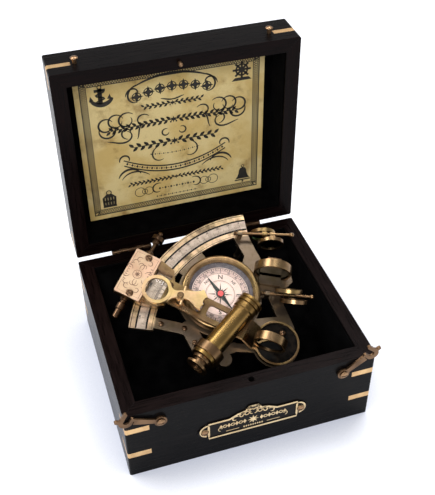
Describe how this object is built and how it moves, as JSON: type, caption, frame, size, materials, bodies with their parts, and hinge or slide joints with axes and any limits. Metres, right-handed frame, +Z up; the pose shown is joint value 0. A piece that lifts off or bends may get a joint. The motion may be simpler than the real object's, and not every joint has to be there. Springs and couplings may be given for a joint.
{
  "type": "sextant box",
  "caption": "Hinged wooden box with hooks, velvet lining and a label in the lid, holding a small brass sextant with compass, telescope, mirrors, shades and a magnifier on its index arm.",
  "frame": {"origin": "centre of the underside of the box, on the surface it stands on", "axes": "+X right along the front, +Y from the front to the hinges, +Z up"},
  "size_m": [0.1463, 0.1536, 0.18],
  "materials": {
    "wood": "gloss",
    "velvet": "matte",
    "brass": "polished",
    "antique_brass": "aged",
    "silver": "satin",
    "paper": "matte",
    "dial": "matte",
    "clear_glass": "polished",
    "tinted_glass": "polished",
    "mirror": "polished",
    "needle_paint": "gloss"
  },
  "bodies": {
    "case": {"case_bottom": "wood", "case_front": "wood", "case_back": "wood", "case_left": "wood", "case_right": "wood", "case_keys": "brass", "case_lining": "velvet", "velvet_rest": "velvet", "name_plate": "brass", "case_leaves": "brass", "case_screws": "brass"},
    "lid": {"lid_front": "wood", "lid_back": "wood", "lid_left": "wood", "lid_right": "wood", "lid_top": "wood", "lid_keys": "brass", "lid_lining": "velvet", "lid_label": "paper", "lid_screws": "brass", "lid_leaves": "brass"},
    "left_catch": {"left_hook": "brass"},
    "right_catch": {"right_hook": "brass"},
    "sextant": {"frame": "antique_brass", "limb_scale": "silver", "legs": "antique_brass", "frame_screws": "antique_brass", "compass_case": "antique_brass", "compass_bezel": "antique_brass", "compass_glass": "clear_glass", "compass_dial": "dial", "scope_holder": "antique_brass", "scope_tube": "antique_brass", "objective_lens": "clear_glass", "horizon_cup": "antique_brass", "horizon_glass": "mirror", "horizon_bracket": "antique_brass", "shade_bars": "antique_brass"},
    "arm": {"index_arm": "antique_brass", "pivot_axle": "antique_brass", "index_cup": "antique_brass", "index_glass": "mirror", "vernier_block": "antique_brass", "vernier_scale": "silver", "cover_plate": "antique_brass", "arm_screws": "antique_brass"},
    "magnifier": {"magnifier_arm": "antique_brass", "magnifier_lens": "clear_glass"},
    "fine_screw": {"tangent_screw": "antique_brass"},
    "compass_needle": {"needle": "needle_paint"},
    "eyepiece": {"drawtube": "antique_brass", "eye_lens": "clear_glass"},
    "shade_1": {"shade_ring_1": "antique_brass", "shade_glass_1": "tinted_glass"},
    "shade_2": {"shade_ring_2": "antique_brass", "shade_glass_2": "tinted_glass"},
    "shade_3": {"shade_ring_3": "antique_brass", "shade_glass_3": "tinted_glass"},
    "shade_4": {"shade_ring_4": "antique_brass", "shade_glass_4": "tinted_glass"}
  },
  "joints": [
    {"name": "lid_hinge", "type": "hinge", "parent": "case", "child": "lid", "pos_m": [0, 0.06385, 0.04985], "axis": [-1, 0, 0], "range_deg": [-90, 0]},
    {"name": "left_hook_pivot", "type": "hinge", "parent": "case", "child": "left_catch", "pos_m": [-0.051, -0.0633, 0.0415], "axis": [0, -1, 0], "range_deg": [-59.9, 54]},
    {"name": "right_hook_pivot", "type": "hinge", "parent": "case", "child": "right_catch", "pos_m": [0.051, -0.0633, 0.0415], "axis": [0, 1, 0], "range_deg": [-42.9, 51]},
    {"name": "sextant_lift", "type": "slide", "parent": "case", "child": "sextant", "axis": [0, 0, 1], "range_m": [0, 0.09]},
    {"name": "index_swing", "type": "hinge", "parent": "sextant", "child": "arm", "pos_m": [0.027, -0.02429, 0.03184], "axis": [0, 0.4384, -0.8988], "range_deg": [0, 31]},
    {"name": "magnifier_turn", "type": "hinge", "parent": "arm", "child": "magnifier", "pos_m": [-0.02129, 0.00415, 0.0575], "axis": [0, 0.4384, -0.8988], "range_deg": [-20, 25]},
    {"name": "tangent_turn", "type": "hinge", "parent": "arm", "child": "fine_screw", "pos_m": [-0.04092, 0.02943, 0.05637], "axis": [0.6561, 0.6783, 0.3308], "continuous": true},
    {"name": "needle_turn", "type": "hinge", "parent": "sextant", "child": "compass_needle", "pos_m": [0.0037, 0.00833, 0.04775], "axis": [0, -0.4384, 0.8988], "continuous": true},
    {"name": "draw_slide", "type": "slide", "parent": "sextant", "child": "eyepiece", "axis": [-0.8141, -0.5219, -0.2546], "range_m": [0, 0.006]},
    {"name": "shade_1_turn", "type": "hinge", "parent": "sextant", "child": "shade_1", "pos_m": [0.0236, 0.03769, 0.06763], "axis": [0.9673, -0.2281, -0.1112], "range_deg": [0, 90]},
    {"name": "shade_2_turn", "type": "hinge", "parent": "sextant", "child": "shade_2", "pos_m": [0.0236, 0.03769, 0.06763], "axis": [-0.9673, 0.2281, 0.1112], "range_deg": [0, 90]},
    {"name": "shade_3_turn", "type": "hinge", "parent": "sextant", "child": "shade_3", "pos_m": [0.0286, 0.00182, 0.04902], "axis": [-0.9478, 0.2867, 0.1398], "range_deg": [0, 45]},
    {"name": "shade_4_turn", "type": "hinge", "parent": "sextant", "child": "shade_4", "pos_m": [0.0286, 0.00182, 0.04902], "axis": [0.9478, -0.2867, -0.1398], "range_deg": [0, 40]}
  ]
}
